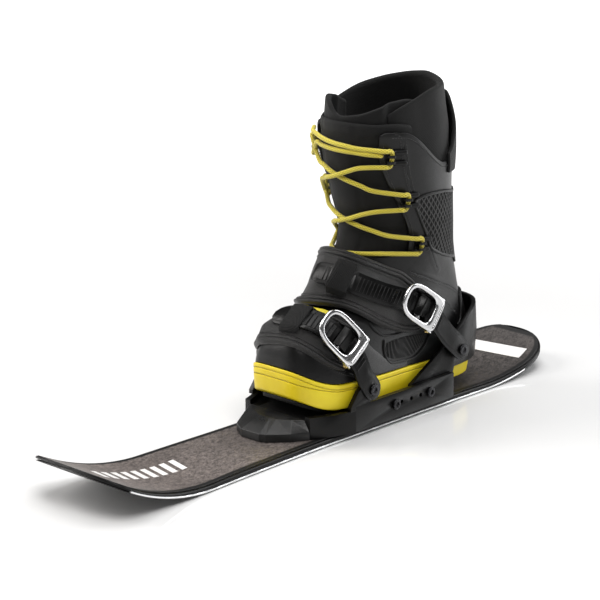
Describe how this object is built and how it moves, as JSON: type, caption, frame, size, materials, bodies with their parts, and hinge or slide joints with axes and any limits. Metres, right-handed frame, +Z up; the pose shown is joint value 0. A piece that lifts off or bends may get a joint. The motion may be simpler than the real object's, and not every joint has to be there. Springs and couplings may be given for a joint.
{
  "type": "skiboard with strap binding and boot",
  "caption": "Short ski with turned-up ends, a two-strap ratchet binding and a laced soft boot strapped into it.",
  "frame": {"origin": "on the running base under the middle of the ski", "axes": "+X to the tip of the ski, +Y to the buckle side of the binding, +Z up"},
  "size_m": [0.6492, 0.1297, 0.3352],
  "materials": {
    "buckle_base": "satin",
    "lever": "polished",
    "lever_pin": "satin",
    "small_steel": "bright",
    "ladder": "smooth satin",
    "keeper": "satin",
    "strap_pad": "moulded foam skin",
    "screws": "blackened steel",
    "base_plate": "fine satin",
    "lace": "round braid",
    "boot_liner": "knit over foam",
    "boot_midsole": "smooth satin foam",
    "boot_outsole": "matt rubber",
    "boot_shell": "coated synthetic leather, satin",
    "boot_tongue": "woven",
    "mesh": "hexagonal mesh",
    "heel_frame": "fine satin",
    "pads": "matt",
    "hooks": "gloss black",
    "trim": "embossed",
    "ski_base": "sintered polyethylene, dull",
    "ski_core": "satin sidewall",
    "ski_edge_left": "ground steel",
    "ski_topsheet": "satin film with fine mottling",
    "toe_block": "fine satin",
    "vamp_piece": "woven"
  },
  "bodies": {
    "skiboard": {"ankle_buckle_base": "buckle_base", "ankle_buckle_lever_pin": "lever_pin", "ankle_buckle_release_pin": "small_steel", "ankle_buckle_spring": "small_steel", "ankle_far_arm": "ladder", "ankle_keeper": "keeper", "ankle_ladder": "ladder", "ankle_strap_pad": "strap_pad", "ankle_strap_screw_1": "screws", "ankle_strap_screw_2": "screws", "base_plate": "base_plate", "boot_lace": "lace", "boot_liner": "boot_liner", "boot_midsole": "boot_midsole", "boot_outsole": "boot_outsole", "boot_shell": "boot_shell", "boot_tongue": "boot_tongue", "calf_mesh_far": "mesh", "calf_mesh_near": "mesh", "frame_bolt_1": "screws", "frame_bolt_2": "screws", "frame_bolt_3": "screws", "frame_bolt_4": "screws", "heel_frame": "heel_frame", "heel_pad": "pads", "lace_hook_far_1": "hooks", "lace_hook_far_2": "hooks", "lace_hook_far_3": "hooks", "lace_hook_near_1": "hooks", "lace_hook_near_2": "hooks", "lace_hook_near_3": "hooks", "mount_screw_1": "screws", "mount_screw_2": "screws", "mount_screw_3": "screws", "mount_screw_4": "screws", "pull_loop": "trim", "quarter_band_far": "trim", "quarter_band_near": "trim", "ski_base": "ski_base", "ski_core": "ski_core", "ski_edge_left": "ski_edge_left", "ski_edge_right": "ski_edge_left", "ski_topsheet": "ski_topsheet", "toe_block": "toe_block", "toe_buckle_base": "buckle_base", "toe_buckle_lever_pin": "lever_pin", "toe_buckle_release_pin": "small_steel", "toe_buckle_spring": "small_steel", "toe_far_arm": "ladder", "toe_keeper": "keeper", "toe_ladder": "ladder", "toe_ramp_pad": "pads", "toe_strap_pad": "strap_pad", "toe_strap_screw_1": "screws", "toe_strap_screw_2": "screws", "vamp_piece": "vamp_piece"},
    "ankle_lever": {"ankle_buckle_lever": "lever"},
    "ankle_release": {"ankle_buckle_release": "buckle_base"},
    "toe_lever": {"toe_buckle_lever": "lever"},
    "toe_release": {"toe_buckle_release": "buckle_base"}
  },
  "joints": [
    {"name": "ankle_lever_hinge", "type": "hinge", "parent": "skiboard", "child": "ankle_lever", "pos_m": [-0.11307, 0.06051, 0.10448], "axis": [-0.5948, 0, 0.8039], "range_deg": [0, 80]},
    {"name": "ankle_release_hinge", "type": "hinge", "parent": "skiboard", "child": "ankle_release", "pos_m": [-0.09921, 0.05737, 0.11473], "axis": [-0.5948, 0, 0.8039], "range_deg": [0, 15], "stiffness_Nm_per_rad": 0.02, "springref_deg": -17.19},
    {"name": "toe_lever_hinge", "type": "hinge", "parent": "skiboard", "child": "toe_lever", "pos_m": [0.00059, 0.05829, 0.09188], "axis": [-0.7944, 0, 0.6074], "range_deg": [0, 80]},
    {"name": "toe_release_hinge", "type": "hinge", "parent": "skiboard", "child": "toe_release", "pos_m": [0.01033, 0.05121, 0.10461], "axis": [-0.7944, 0, 0.6074], "range_deg": [0, 15], "stiffness_Nm_per_rad": 0.02, "springref_deg": -17.19}
  ]
}
